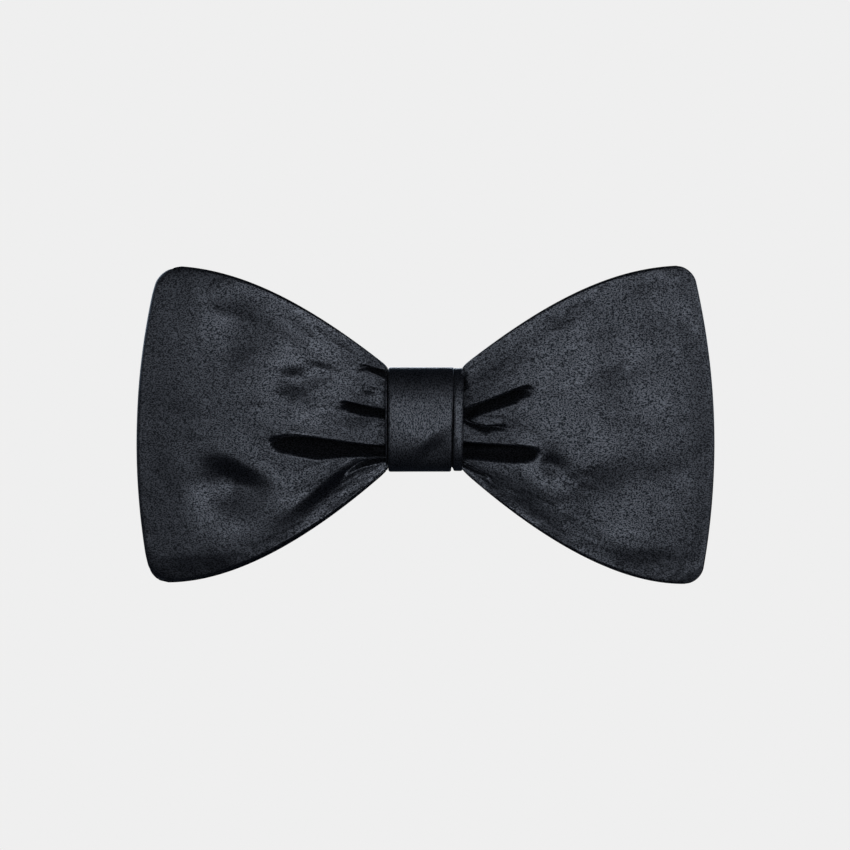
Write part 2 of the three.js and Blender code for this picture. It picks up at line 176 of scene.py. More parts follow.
# A slump is where the cloth sinks softly below a short line: the line's middle, its turn in
# degrees, its half length, the slope's width and its depth.
LEFT_SLUMPS = [
    (37.4, -8.6, 27, 5.8, 5.0, 2.3),
    (20.4, -12.3, -39, 7.5, 2.9, 1.6),
    (11.6, 6.6, 4, 1.5, 2.0, 0.6),
    (27.2, 11.4, -4, 3.6, 3.2, 0.7),
    (21.0, 12.0, 16, 4.0, 1.8, 0.35),
    (37.5, 27.0, 17, 7.0, 7.0, 1.15),
    (26, 18.8, 30, 8.0, 4.5, 0.4),
    (46, -27.6, -3, 9.0, 4.5, 0.45),
    (56, 3, 70, 14, 4.0, 0.3),
]
RIGHT_SLUMPS = [
    (23.4, -8.6, 72, 1.9, 2.4, 0.7),
    (8.6, 9.8, -40, 1.6, 2.0, 1.1),
    (38.5, 13.4, 24, 6.5, 8.0, 0.6),
    (31.4, -9.0, 12, 7.0, 9.0, 0.5),
    (43, 30.0, 3, 9.0, 6.0, 0.7),
    (55, 24, -58, 8.0, 4.0, 0.4),
    (47, -6.4, 14, 8.0, 6.0, 0.35),
    (46, -25.6, 0, 9.0, 4.5, 0.35),
]
SLUMP_REACH = 1.3  # how far a slump takes to rise again, over its width
LAYER_FOLLOW = {"front": 1.0, "second": 0.75, "third": 0.5, "rear": 0.25}

# The slack over a wing is simulated on a sheet ten times life size.
SLACK_SHEET = (520, 620)
SLACK_GRID = (36, 42)
SLACK_START = 0.6
SLACK_FRAMES = 14
SLACK_HEIGHT = 0.11


# -------------------------------------------------- mesh helpers

def mesh_object(name, points, faces):
    """A smooth-shaded object from points in millimetres and their faces."""
    mesh = bpy.data.meshes.new(name)
    mesh.from_pydata((np.asarray(points) * MM).tolist(), [], faces)
    mesh.update()
    mesh.shade_smooth()
    obj = bpy.data.objects.new(name, mesh)
    scene.collection.objects.link(obj)
    return obj


def grid_faces(rows, columns, start=0, close_columns=False):
    """Quads of a grid of rows times columns points, numbered row by row from start."""
    faces = []
    wrap = columns if close_columns else columns - 1
    for r in range(rows - 1):
        for c in range(wrap):
            d = (c + 1) % columns
            a = start + r * columns
            b = a + columns
            faces.append((a + c, a + d, b + d, b + c))
    return faces


def closed_strip(name, centre, normal, thickness):
    """A closed strip: a grid of centre points thickened along their normals.

    centre and normal are (stations, rows, 3); thickness is a number or (stations, rows).
    """
    stations, rows = centre.shape[:2]
    half = np.broadcast_to(np.asarray(thickness, float), (stations, rows))[..., None] / 2
    front = centre + normal * half
    back = (centre - normal * half)[:, ::-1]
    loops = np.concatenate([front, back], axis=1)  # each station is a closed loop round the strip
    width = 2 * rows
    points = loops.reshape(-1, 3)
    faces = grid_faces(stations, width, close_columns=True)
    for end, turn in ((0, 1), (stations - 1, -1)):
        base = end * width
        for r in range(rows - 1):
            quad = (base + r, base + width - 1 - r, base + width - 2 - r, base + r + 1)
            faces.append(quad[::turn])
    return mesh_object(name, points, faces)


def bezier(control, t):
    """Points of a cubic Bezier at the values t."""
    t = np.asarray(t, float)[..., None]
    a, b, c, d = (np.asarray(p, float) for p in control)
    return (1 - t) ** 3 * a + 3 * (1 - t) ** 2 * t * b + 3 * (1 - t) * t ** 2 * c + t ** 3 * d


def smooth(x):
    """An ease from 0 to 1 as x goes from 0 to 1."""
    x = np.clip(x, 0, 1)
    return x * x * (3 - 2 * x)


# -------------------------------------------------- the wing's outline

def edge_height(edge, x):
    """The height of an edge curve at each x, read off a fine walk along it."""
    walk = bezier(edge, np.linspace(0, 1, 400))
    return np.interp(x, walk[:, 0], walk[:, 1])


def outer_edge(z):
    """How far out the wing's outer edge lies at height z, with rounded corners."""
    lean = z + 2
    edge = HALF_WIDTH - EDGE_CROWN * lean ** 2 - EDGE_TILT * lean
    to_corner = np.minimum(CORNER_TOP[1] - z, z - CORNER_BOTTOM[1])
    inside = np.clip(CORNER_RADIUS - to_corner, 0, CORNER_RADIUS)
    return edge - CORNER_RADIUS + np.sqrt(CORNER_RADIUS ** 2 - inside ** 2)


def wing_span(share, lift, drop):
    """The lowest and highest points of the cloth where the wing has spread by share."""
    run = HALF_WIDTH - WAIST_X
    spring = np.exp(-share * run / SPREAD_LENGTH)
    spans = []
    for edge, corner, waist, shift in (
        (BOTTOM_EDGE, CORNER_BOTTOM[0], -WAIST_HALF_HEIGHT, drop),
        (TOP_EDGE, CORNER_TOP[0], WAIST_HALF_HEIGHT, -lift),
    ):
        height = edge_height(edge, WAIST_X + share * (corner - WAIST_X))
        at_waist = edge_height(edge, WAIST_X)
        spans.append(height + (waist - at_waist) * spring + shift * (1 - spring))
    return spans


def follow_line(x, z, line):
    """For each point: its signed distance from a line of (x, z, width), positive above it, the width
    of the line there, and how far along the line that is, from 0 to 1.
    """
    knots = np.array(line, float)
    t = np.linspace(0, len(knots) - 1, 8 * (len(knots) - 1) + 1)
    fine = np.stack([np.interp(t, range(len(knots)), knots[:, k]) for k in range(3)], 1)
    outwards = np.sign(knots[-1, 0] - knots[0, 0])
    near = np.full(x.shape, np.inf)
    signed, width, along = np.zeros_like(x), np.zeros_like(x), np.zeros_like(x)
    for number, (a, b) in enumerate(zip(fine[:-1], fine[1:])):
        step = b[:2] - a[:2]
        share = np.clip(((x - a[0]) * step[0] + (z - a[1]) * step[1]) / (step @ step), 0, 1)
        off_x, off_z = x - a[0] - share * step[0], z - a[1] - share * step[1]
        away = np.hypot(off_x, off_z)
        closer = away < near
        side = np.sign((step[0] * (z - a[1]) - step[1] * (x - a[0])) * outwards)
        near = np.where(closer, away, near)
        signed = np.where(closer, side * away, signed)
        width = np.where(closer, a[2] + share * (b[2] - a[2]), width)
        along = np.where(closer, (number + share) / (len(fine) - 1), along)
    return signed, np.maximum(width, 0.01), along


def pleat(x, z, line):
    """How far a pleat sets the cloth back, and how far its crest hangs down over the hollow."""
    away, width, along = follow_line(x, z, line)
    softness = smooth((along - PLEAT_SOFT_FROM) / (1 - PLEAT_SOFT_FROM))
    depth = PLEAT_DEPTH * width * (1 - PLEAT_SHALLOWER * softness)
    wall = np.maximum(PLEAT_WALL * width, 0.3) + PLEAT_SOFT_WALL * softness
    overhang = PLEAT_OVERHANG * width * (1 - softness)
    inwards = (overhang - away) / wall
    rise = np.clip((overhang - wall - away) / width, 0, 1)
    hollow = depth * smooth(inwards) * (1 - rise)
    crest = np.exp(-(np.clip(away - overhang, 0, None) / CREST_REACH) ** 2) * (1 - smooth(inwards))
    return hollow - 0.1 * depth * crest, -overhang * crest


def slump(x, z, middle_x, middle_z, turn, half_length, width, depth):
    """How far a slump sets the cloth back: a soft slope down, then a slow rise."""
    angle = math.radians(turn)
    along = (x - middle_x) * math.cos(angle) + (z - middle_z) * math.sin(angle)
    below = (x - middle_x) * math.sin(angle) - (z - middle_z) * math.cos(angle)
    bell = np.exp(-(along / half_length) ** 2)
    rise = np.exp(-(np.clip(below / width - 1, 0, None) / SLUMP_REACH) ** 2)
    return depth * bell * smooth(below / width) * rise


def gathers(x, z, pleats, slumps, follow):
    """How far the cloth of one wing stands back from its smooth shape, and how far it hangs lower.

    follow is how much a layer takes part: the sharp pleats die out faster from layer to layer.
    """
    back = follow * sum(slump(x, z, *shape) for shape in slumps)
    lower = 0 * x
    for line in pleats:
        hollow, hang = pleat(x, z, line)
        back = back + follow ** 2 * hollow
        lower = lower + hang
    return back, lower


def under_band(x, y, z):
    """y of the rear blade's back leaf, pressed forward where the neck band lies flat against it."""
    bend = np.clip(np.abs(x) - LOOP_STRAIGHT, 0, None) ** 2 / (2 * LOOP_ARCS[0][0])
    beside = np.clip(np.abs(z) - BAND_HEIGHT / 2, 0, None)
    limit = BAND_Y - (BAND_THICKNESS + BLADE_THICKNESS) / 2 - BAND_GAP + bend + 0.5 * beside
    return (y + limit - np.sqrt((y - limit) ** 2 + BAND_GAP)) / 2


def buckled_sheet(seed):
    """The slack of one wing: a cloth simulation of a sheet a little too big for its sewn edges.

    Returns the sheet's waves, about 1 high, in rows from the bottom edge and columns from the knot.
    """
    columns, rows = SLACK_GRID
    u, v = np.meshgrid(np.linspace(0, 1, columns), np.linspace(0, 1, rows))
    rng = np.random.default_rng(seed)
    wide, high = SLACK_SHEET
    points = np.stack([u * wide, rng.normal(0, SLACK_START, u.shape), v * high], -1)
    sheet = mesh_object("slack_sheet", points.reshape(-1, 3), grid_faces(rows, columns))
    sewn = sheet.vertex_groups.new(name="sewn")
    border = np.minimum(np.minimum(u, 1 - u), np.minimum(v, 1 - v)) == 0
    sewn.add(np.flatnonzero(border).tolist(), 1.0, "REPLACE")
    cloth = sheet.modifiers.new("cloth", "CLOTH").settings
    cloth.vertex_group_mass = "sewn"
    cloth.quality = 5
    cloth.shrink_min = -0.02  # grows the cloth
    cloth.bending_stiffness = 4.0
    cloth.effector_weights.gravity = 0
    for number in range(1, SLACK_FRAMES + 1):
        scene.frame_set(number)
    settled = sheet.evaluated_get(bpy.context.evaluated_depsgraph_get())
    heights = np.array([vertex.co.y for vertex in settled.data.vertices]).reshape(rows, columns)
    scene.frame_set(1)
    bpy.data.objects.remove(sheet)
    return heights / np.std(heights)


def read_sheet(sheet, share, across):
    """The height of a sheet's waves at shares of the way out from the knot and up the wing."""
    rows, columns = sheet.shape
    c = np.clip(share, 0, 1) * (columns - 1)
    r = np.clip(across, 0, 1) * (rows - 1)
    c0 = np.minimum(c.astype(int), columns - 2)
    r0 = np.minimum(r.astype(int), rows - 2)
    c, r = smooth(c - c0), smooth(r - r0)
    low = sheet[r0, c0] * (1 - c) + sheet[r0, c0 + 1] * c
    high = sheet[r0 + 1, c0] * (1 - c) + sheet[r0 + 1, c0 + 1] * c
    return low * (1 - r) + high * r


left_slack = buckled_sheet(3)
right_slack = buckled_sheet(8)


# -------------------------------------------------- the blades

# The parts of a blade's path: flat end, pass through the knot, loop, outer fold, return, tucked end.
FLAT, PASS, LOOP, FOLD, RETURN, TUCK = range(6)


def blade_path(side, pass_y, tip_y, flat_bulge, loop_bulge, fold_y, back_bulge, return_y, wing_steps):
    """Plan stations of a blade: points, directions to its face side, and each one's part, tip first.

    side is +1 for the front blade, whose loop returns towards the neck, and -1 for the rear one.
    The other sizes are y: of the pass through the knot, the flat end's tip, the pulls on the flat
    end and the loop, the fold's middle, the pull on the returning leaf, and the tucked end.
    """
    fold_x = -(HALF_WIDTH - FOLD_RADIUS - BLADE_THICKNESS / 2)
    start = (fold_x, fold_y - side * FOLD_RADIUS)
    end = (fold_x, fold_y + side * FOLD_RADIUS)
    turn = np.linspace(0, math.pi, 13)
    ease = np.linspace(0, 1, wing_steps)
    tip_ease = 1 - (1 - ease) ** 0.9
    half_ease = np.linspace(0, 1, wing_steps // 2)
    entry, far_side = (WAIST_X, pass_y), (-WAIST_X, pass_y)
    outer, inner = OUTER_CONTROL_X, INNER_CONTROL_X
    parts = [
        bezier([(HALF_WIDTH, tip_y), (outer, flat_bulge), (inner, flat_bulge), entry], tip_ease ** 1.15),
        np.stack([np.linspace(WAIST_X, -WAIST_X, 9), np.full(9, pass_y)], 1),
        bezier([far_side, (-inner, loop_bulge), (-outer, loop_bulge), start], ease),
        np.stack([fold_x - FOLD_RADIUS * np.sin(turn), fold_y - side * FOLD_RADIUS * np.cos(turn)], 1),
        bezier([end, (-outer, back_bulge), (-inner, return_y), (-WAIST_X, return_y)], half_ease),
        np.stack([np.linspace(-WAIST_X, TUCK_END_X, 7), np.full(7, return_y)], 1),
    ]
    part = np.concatenate([[k] * (len(p) - (k > 0)) for k, p in enumerate(parts)])
    line = np.concatenate([p if k == 0 else p[1:] for k, p in enumerate(parts)])
    along = np.gradient(line, axis=0)
    along /= np.linalg.norm(along, axis=1)[:, None]
    face = side * np.stack([-along[:, 1], along[:, 0]], 1)
    return line, face, part


class Blade:
    """One blade's mid-surface, from which its face cloth, interlining and lining are made.

    layers gives, for the flat end, the loop's outer leaf and its return, which layer each one is.
    lifts and drops say how far each of them stands short of the wing's top and bottom edges.
    """

    def __init__(self, path, rows, mirror, layers, drops, lifts):
        line, face, self.part = path
        self.mirror = mirror
        even = np.linspace(0, 1, rows)
        self.across = 0.5 * even + 0.5 * (1 - np.cos(math.pi * even)) / 2
        x, z, share, to_edge = self.spread(line[:, 0], drops, lifts)
        relief, self.hang = self.relief(x, z, share, self.follow(layers))
        crown = np.sin(math.pi * self.across) * smooth(share * 4) * (1 - smooth(share * 1.6 - 0.6))
        outwards = np.where(self.part <= LOOP, 1.0, CROWN_BEHIND)[:, None] * face[:, 1][:, None]
        y = line[:, 1][:, None] + relief + CROWN * crown * outwards
        if layers[0] == "rear":
            y = np.where((self.part <= LOOP)[:, None], under_band(x, y, z), y)
        flip = -1 if mirror else 1
        blank = 0 * self.across
        facing_x, facing_y = face[:, 0][:, None] + blank, face[:, 1][:, None] + blank
        self.centre = np.stack([flip * x, y, z], -1)
        self.normal = np.stack([flip * facing_x, facing_y, 0 * z], -1)
        from_tip = np.linalg.norm(self.centre - self.centre[:1], axis=-1)
        self.edge = np.minimum(to_edge, from_tip)

    def spread(self, line_x, drops, lifts):
        """x, z, share of the way out from the knot, and distance to the nearer long edge."""
        grid_x = line_x[:, None] + 0 * self.across
        share = np.clip((np.abs(grid_x) - WAIST_X) / (HALF_WIDTH - WAIST_X), 0, None)
        drop, lift = (
            np.interp(self.part, [FLAT, PASS, LOOP, FOLD, RETURN, TUCK],
                      [short[0], 0, short[1], (short[1] + short[2]) / 2, short[2], 0])[:, None]
            for short in (drops, lifts)
        )
        low, high = wing_span(share, lift, drop)
        z = low + (high - low) * self.across
        full_z = CORNER_BOTTOM[1] + (CORNER_TOP[1] - CORNER_BOTTOM[1]) * self.across
        reach = WAIST_X + share * (outer_edge(full_z) - WAIST_X)
        x = np.where(share > 0, np.sign(grid_x) * reach, grid_x)
        return x, z, share, np.minimum(z - low, high - z)

    def follow(self, layers):
        """How much each station takes part in the gathers."""
        flat, loop, back = (LAYER_FOLLOW[layer] for layer in layers)
        part = self.part
        return np.select([part == FLAT, part <= PASS, part <= FOLD], [flat, loop, loop], back)[:, None]

    def relief(self, x, z, share, follow):
        """How far the cloth stands back from its smooth shape, and how far its crests hang down."""
        on_right = (x > 0) != self.mirror
        right, right_hang = gathers(np.abs(x), z, RIGHT_PLEATS, RIGHT_SLUMPS, follow)
        left, left_hang = gathers(np.abs(x), z, LEFT_PLEATS, LEFT_SLUMPS, follow)
        beyond_knot = smooth((np.abs(x) - WAIST_X + 1.5) / 1.5)
        waves = np.where(on_right, read_sheet(right_slack, share, self.across),
                         read_sheet(left_slack, share, self.across))
        back = (np.where(on_right, right, left) + SLACK_HEIGHT * waves * follow) * beyond_knot
        foremost = (follow == 1) & (share > 0)
        return back, np.where(foremost, np.where(on_right, right_hang, left_hang), 0)

    def half_thickness(self):
        """Half the blade's thickness: full over the leaf, and rounding down to a pressed edge."""
        leaf = EDGE_THICKNESS + (BLADE_THICKNESS - EDGE_THICKNESS) * smooth(self.edge / EDGE_TAPER)
        rounding = np.sqrt(np.clip(1 - (1 - np.clip(self.edge / EDGE_RADIUS, 0, 1)) ** 2, 0, 1))
        return np.maximum(leaf / 2 * rounding, THINNEST_HALF)

    def half_gap(self):
        """Half the room between the face cloth and the lining."""
        return np.maximum(self.half_thickness() - PLY, 0.02)

    def ply(self, name, side):
        """The face cloth (side 1) or the lining (side -1)."""
        outer = self.half_thickness()
        inner = self.half_gap()
        hang = self.hang if side > 0 else 0 * self.hang
        return self.build(name, side * (outer + inner) / 2, outer - inner, hang)

    def interlining(self, name):
        """The canvas between the plies, pressed thinner towards the blade's edges."""
        inset = slice(3, -3)
        level = 0 * self.edge
        thickness = np.minimum(CORE_THICKNESS, 1.8 * self.half_gap())
        return self.build(name, level, thickness, level, (inset, inset))

    def build(self, name, offset, thickness, hang, part=(slice(None), slice(None))):
        """A ply at an offset towards the blade's face. hang lowers its pleats' crests."""
        turn = slice(None, None, -1) if self.mirror else slice(None)
        centre = self.centre + self.normal * offset[..., None]
        centre[..., 2] += hang
        return closed_strip(name, centre[part][:, turn], self.normal[part][:, turn], thickness[part][:, turn])


front_path = blade_path(side=1, pass_y=-10.35, tip_y=-10.6, flat_bulge=-13.0, loop_bulge=-13.4,
                        fold_y=-8.9, back_bulge=-6.4, return_y=-8.45, wing_steps=120)
rear_path = blade_path(side=-1, pass_y=-4.65, tip_y=-4.7, flat_bulge=-3.9, loop_bulge=-3.4,
                       fold_y=-6.1, back_bulge=-8.0, return_y=-6.55, wing_steps=70)
front = Blade(front_path, rows=170, mirror=False, layers=("front", "front", "second"),
              drops=(0, 0.55, 0.9), lifts=(0, 0, 0.8))
rear = Blade(rear_path, rows=80, mirror=True, layers=("rear", "rear", "third"),
             drops=(0, 0.4, 0.8), lifts=(0.9, 0.9, 1.1))
front_face = front.ply("front_blade_face_cloth", 1)
front_lining = front.ply("front_blade_lining_cloth", -1)
front_core = front.interlining("front_blade_core")
rear_face = rear.ply("rear_blade_face_cloth", 1)
rear_lining = rear.ply("rear_blade_lining_cloth", -1)
rear_core = rear.interlining("rear_blade_core")


# -------------------------------------------------- the knot

def even_ring(inset, count):
    """Evenly spaced points (y, z) round the knot's section, and their outward normals."""
    turn = np.linspace(0, 2 * math.pi, 1441)
    front_power = np.where(np.sin(turn) > 0, UPPER_ROUNDNESS, LOWER_ROUNDNESS)
    power = np.where(np.cos(turn) < 0, front_power, BACK_ROUNDNESS)
    cos, sin = np.cos(turn), np.sin(turn)
    size = (np.abs(cos) ** power + np.abs(sin) ** power) ** (-1 / power)
    y = -KNOT_DEPTH / 2 + (KNOT_DEPTH / 2 - inset) * size * cos
    z = (KNOT_HEIGHT / 2 - inset) * size * sin
    gone = np.concatenate([[0], np.cumsum(np.hypot(np.diff(y), np.diff(z)))])
    at = np.linspace(0, gone[-1], count, endpoint=False)
    ring = np.stack([np.interp(at, gone, y), np.interp(at, gone, z)], 1)
    along = np.roll(ring, -1, axis=0) - np.roll(ring, 1, axis=0)
    normal = np.stack([along[:, 1], -along[:, 0]], 1)
    return ring, normal / np.linalg.norm(normal, axis=1)[:, None]


def ring_strip(name, relief, inset, left, right, thickness, count=200, rows=56):
    """A turn of cloth round the knot. left and right are its edges, each as (x, lean in x per z)."""
    ring, normal = even_ring(inset + thickness / 2, count)
    across = (1 - np.cos(np.linspace(0, math.pi, rows))) / 2
    z = ring[:, 1][:, None]
    y = ring[:, 0][:, None]
    front = np.clip(-(y + KNOT_DEPTH / 2) / (KNOT_DEPTH / 2), 0, 1)
    left_x = left[0] + left[1] * z
    right_x = right[0] + right[1] * z
    x = left_x + (right_x - left_x) * across
    lift = relief(x, z + 0 * x, front + 0 * x)
    centre = np.stack([x, y + normal[:, :1] * lift, z + normal[:, 1:] * lift], -1)
    out = np.stack([0 * x, normal[:, :1] + 0 * x, normal[:, 1:] + 0 * x], -1)
    near = np.minimum(across, 1 - across)
    shape = np.sqrt(np.clip(1 - (1 - np.clip(near / KNOT_HEM, 0, 1)) ** 2, 0.03, 1))
    half = (thickness / 2 * shape)[None, :, None]
    loops = np.concatenate([centre + out * half, (centre - out * half)[:, ::-1]], axis=1)
    points = loops.reshape(-1, 3)
    faces = []
    width = 2 * rows
    for s in range(count):
        a, b = s * width, (s + 1) % count * width
        for c in range(width):
            d = (c + 1) % width
            faces.append((a + c, b + c, b + d, a + d))
    return mesh_object(name, points, faces)


def soft_bump(x, z, at, size):
    """A rounded rise, 1 high, at a place and of a half width and half height."""
    return np.exp(-((x - at[0]) / size[0]) ** 2 - ((z - at[1]) / size[1]) ** 2)


def over_turn_relief(x, z, front):
    """The outer turn's face: full at the middle, and sinking below a slanting line low on the right."""
    full = 0.5 * soft_bump(x, z, (-2.5, -2.6), (8, 5.5))
    return front * (full - slump(x, z, -0.2, -4.4, 40, 4.6, 3.2, 0.9))


def under_turn_relief(x, z, front):
    """The under turn swells out to the outer turn's level where nothing holds it down."""
    right_edge, left_edge = OVER_TURN["right"][0] - 0.15, OVER_TURN["left"][0]
    return 0.8 * smooth((x - right_edge) / 0.5) + 0.75 * smooth((left_edge - x) / 0.3)


def no_relief(x, z, front):
    """An even layer, such as the interlining."""
    return 0 * x


over_turn = ring_strip("knot_over_turn", over_turn_relief, **OVER_TURN)
under_turn = ring_strip("knot_under_turn", under_turn_relief, **UNDER_TURN)
knot_core = ring_strip("knot_core", no_relief, **KNOT_CORE, count=100, rows=16)


# -------------------------------------------------- the neck band

def loop_runs():
    """Half the neck loop's runs: start x, y, heading, radius (0 straight) and length."""
    x, y, heading = LOOP_STRAIGHT, BAND_Y, 0.0
    runs = [(0.0, BAND_Y, 0.0, 0.0, LOOP_STRAIGHT)]
    for radius, turn in LOOP_ARCS:
        angle = math.radians(turn)
        runs.append((x, y, heading, radius, radius * angle))
        x += radius * (math.sin(heading + angle) - math.sin(heading))
        y += radius * (math.cos(heading) - math.cos(heading + angle))
        heading += angle
    runs.append((x, y, heading, 0.0, x))
    return runs


RUNS = loop_runs()
HALF_LOOP = sum(run[4] for run in RUNS)


def place(sign, along, out):
    """The plan point along the half loop and out from its line, with sign 1 right and -1 left."""
    left = along
    for index, (x, y, heading, radius, length) in enumerate(RUNS):
        if left <= length or index == len(RUNS) - 1:
            break
        left -= length
    now = heading + (left / radius if radius else 0)
    if radius:
        x += radius * (math.sin(now) - math.sin(heading))
        y += radius * (math.cos(heading) - math.cos(now))
    else:
        x += left * math.cos(heading)
        y += left * math.sin(heading)
    return sign * (x + out * math.sin(now)), y - out * math.cos(now)


def stretch(start, end, out_start, out_end, step=1.5):
    """Points (along, out) of a stretch of strap, easing from one distance out to another."""
    count = max(3, int(abs(end - start) / step) + 1)
    return [(start + (end - start) * t, out_start + (out_end - out_start) * float(smooth(t)))
            for t in np.linspace(0, 1, count)]


def turn_round(along, out, ahead, count=9):
    """A half turn round a bar, from its outer side to its inner side."""
    return [(along + ahead * BAR_TURN * math.cos(a), out + BAR_TURN * math.sin(a))
            for a in np.linspace(math.pi / 2, -math.pi / 2, count + 2)[1:-1]]


def strap_frame(sign, points, height, rows):
    """The strap's grid of centre points, their normals out from the neck, and each row's share across."""
    line = np.array([place(sign, a, o) for a, o in points])
    ahead = np.gradient(line, axis=0)
    ahead /= np.linalg.norm(ahead, axis=1)[:, None]
    across = (1 - np.cos(np.linspace(0, math.pi, rows))) / 2
    centre = np.zeros((len(line), rows, 3))
    centre[:, :, :2] = line[:, None, :]
    centre[:, :, 2] = (across - 0.5) * height
    normal = np.zeros((len(line), rows, 3))
    normal[:, :, 0] = sign * ahead[:, 1][:, None]
    normal[:, :, 1] = -sign * ahead[:, 0][:, None]
    if sign < 0:
        centre, normal = centre[:, ::-1], normal[:, ::-1]
    return centre, normal, across


def pressed(across, edge):
    """The share of its full thickness that a pressed strap has at each place across it."""
    near = np.clip(np.minimum(across, 1 - across) / edge, 0, 1)
    return np.sqrt(np.clip(1 - (1 - near) ** 2, 0.03, 1))


def tape(name, sign, points, height, thickness=0.3, rows=9, edge=0.02):
    """A single layer of tape or interlining along the points."""
    centre, normal, across = strap_frame(sign, points, height, rows)
    return closed_strip(name, centre, normal, np.tile(thickness * pressed(across, edge), (len(points), 1)))


def tube(name, sign, points, rows=15, edge=0.05):
    """The neck band's sewn tube of satin, pressed flat, with a hollow for its interlining."""
    centre, normal, across = strap_frame(sign, points, BAND_HEIGHT, rows)
    stations = len(points)
    half = (BAND_THICKNESS / 2 * pressed(across, edge))[None, :, None]
    inner_half = np.maximum(half - BAND_WALL, 0.02)
    squeeze = np.array([1, 1, 1 - 2 * BAND_WALL / BAND_HEIGHT])
    outer = np.concatenate([centre + normal * half, (centre - normal * half)[:, ::-1]], axis=1)
    hollow = centre * squeeze
    inner = np.concatenate([hollow + normal * inner_half, (hollow - normal * inner_half)[:, ::-1]], axis=1)
    points = np.concatenate([outer.reshape(-1, 3), inner.reshape(-1, 3)])
    width = 2 * rows
    faces = grid_faces(stations, width, close_columns=True)
    faces += [quad[::-1] for quad in grid_faces(stations, width, start=stations * width, close_columns=True)]
    for station, turn in ((0, -1), (stations - 1, 1)):
        base = station * width
        for c in range(width):
            d = (c + 1) % width
            inside = base + stations * width
            faces.append((base + c, base + d, inside + d, inside + c)[::turn])
    return mesh_object(name, points, faces)


LEFT, RIGHT = -1, 1
hook_along = HALF_LOOP - HOOK_ALONG_FROM_NAPE
eye_along = HALF_LOOP + EYE_FROM_NAPE
pivot_along = HALF_LOOP + PIVOT_FROM_NAPE
slider_along = (RUNS[0][4] + RUNS[1][4]
                + LOOP_ARCS[1][0] * math.radians(SLIDER_HEADING - LOOP_ARCS[0][1]))
hook_outer, hook_inner = HOOK_OUT + BAR_TURN, HOOK_OUT - BAR_TURN
eye_outer, eye_inner = EYE_OUT + BAR_TURN, EYE_OUT - BAR_TURN
slider_outer, slider_inner = SLIDER_OUT + BAR_TURN, SLIDER_OUT - BAR_TURN

hook_end = hook_along - HOOK_TURNED_BACK

left_band = tube("left_band", LEFT, [
    *stretch(BAND_START, hook_along - HOOK_RISE, 0, 0),
    *stretch(hook_along - HOOK_RISE, hook_along, 0, hook_outer)[1:],
    *turn_round(hook_along, HOOK_OUT, 1),
    *stretch(hook_along, hook_end, hook_inner, hook_inner),
])
left_return = tube("left_return_strap", LEFT, [
    *stretch(hook_end, hook_along - RETURN_RISE, hook_inner, slider_outer),
    *stretch(hook_along - RETURN_RISE, slider_along, slider_outer, slider_outer)[1:],
    *turn_round(slider_along, SLIDER_OUT, -1),
    *stretch(slider_along, slider_along + SLIDER_TURNED_BACK, slider_inner, slider_outer - SLIDER_END_IN),
])
right_band = tube("right_band", RIGHT, [
    *stretch(BAND_START, eye_along - EYE_RISE, 0, EYE_RISE_START_OUT),
    *stretch(eye_along - EYE_RISE, eye_along, EYE_RISE_START_OUT, eye_outer)[1:],
    *turn_round(eye_along, EYE_OUT, 1),
    *stretch(eye_along, eye_along - EYE_TURNED_BACK, eye_inner, eye_inner),
])
label = tape("sewn_label", RIGHT, stretch(LABEL_START, LABEL_END, LABEL_OUT, LABEL_OUT), LABEL_HEIGHT)
left_core = tape("left_band_core", LEFT,
                 stretch(CORE_START, hook_along - LEFT_CORE_SHORT, 0, 0), CORE_HEIGHT)
right_core = tape("right_band_core", RIGHT,
                  stretch(CORE_START, pivot_along - RIGHT_CORE_SHORT, 0, RIGHT_CORE_OUT), CORE_HEIGHT)


# -------------------------------------------------- stitches

def stitches(name, places):
    """Short raised threads, each a (centre, direction, length) in millimetres."""
    around, along_count = 8, 7
    turn = np.linspace(0, 2 * math.pi, around, endpoint=False)
    lengthwise = np.linspace(0, math.pi, along_count)
    points, faces = [], []
    for centre, direction, length in places:
        ahead = np.asarray(direction, float) / np.linalg.norm(direction)
        side = np.cross(ahead, (0.3, 0.5, 0.81))
        side /= np.linalg.norm(side)
        up = np.cross(ahead, side)
        start = len(points)
        for a in lengthwise[1:-1]:
            middle = np.asarray(centre) - ahead * length / 2 * math.cos(a)
            ring = np.outer(np.cos(turn), side) + np.outer(np.sin(turn), up)
            points.extend(middle + THREAD_RADIUS * math.sin(a) ** 0.6 * ring)
        faces += grid_faces(along_count - 2, around, start=start, close_columns=True)
        last = start + (along_count - 3) * around
        faces.append(tuple(range(start + around - 1, start - 1, -1)))
        faces.append(tuple(range(last, last + around)))
    return mesh_object(name, points, faces)


def strap_point(sign, along, out, z):
    """The point in space at a place on a strap and a height z."""
    return (*place(sign, along, out), z)


def bar_tack(sign, along, out):
    """A dense row of short stitches across a strap."""
    ahead = np.subtract(strap_point(sign, along + 1, out, 0), strap_point(sign, along, out, 0))
    heights = np.arange(-TACK_HALF_HEIGHT, TACK_HALF_HEIGHT + 0.1, TACK_PITCH)
    return [(strap_point(sign, along, out, z), ahead, TACK_STITCH) for z in heights]


def label_stitches():
    """Hem stitches along the label's long edges."""
    edge = LABEL_HEIGHT / 2 - HEM_INSET
    places = []
    for along in np.arange(LABEL_START + 1, LABEL_END - 0.5, HEM_PITCH):
        ahead = np.subtract(place(RIGHT, along + 1, 0), place(RIGHT, along, 0))
        for z in (-edge, edge):
            places.append((strap_point(RIGHT, along, HEM_OUT, z), (*ahead, 0), HEM_STITCH))
    return places


